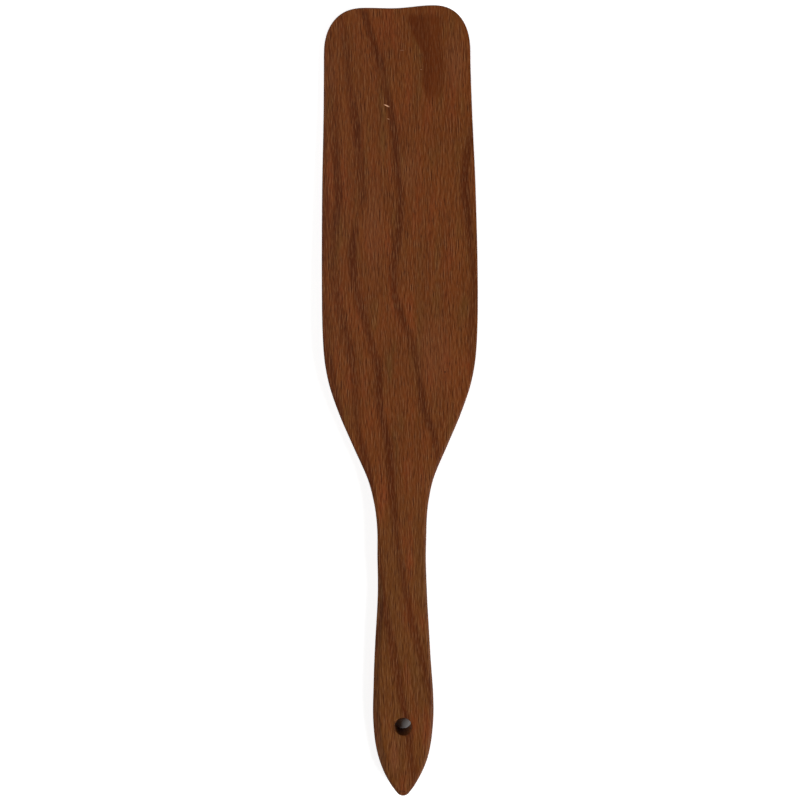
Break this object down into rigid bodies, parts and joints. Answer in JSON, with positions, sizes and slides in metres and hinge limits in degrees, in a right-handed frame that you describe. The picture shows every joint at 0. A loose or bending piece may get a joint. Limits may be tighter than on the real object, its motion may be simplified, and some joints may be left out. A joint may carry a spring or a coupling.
{
  "type": "wooden spatula",
  "caption": "Flat beech kitchen spatula with a long thinned blade, sloping shoulders, a slim neck and a pointed handle with a drilled hanging hole.",
  "frame": {"origin": "on the flat back, under the middle of the outline", "axes": "+Y from the handle's tip to the end of the blade, +Z out of the front face, +X to the right seen from the front with the blade up"},
  "size_m": [0.059, 0.3, 0.007],
  "materials": {
    "beech": "sanded and oiled, darkened with age, satin"
  },
  "bodies": {
    "root": {"spatula": "beech"}
  },
  "joints": []
}
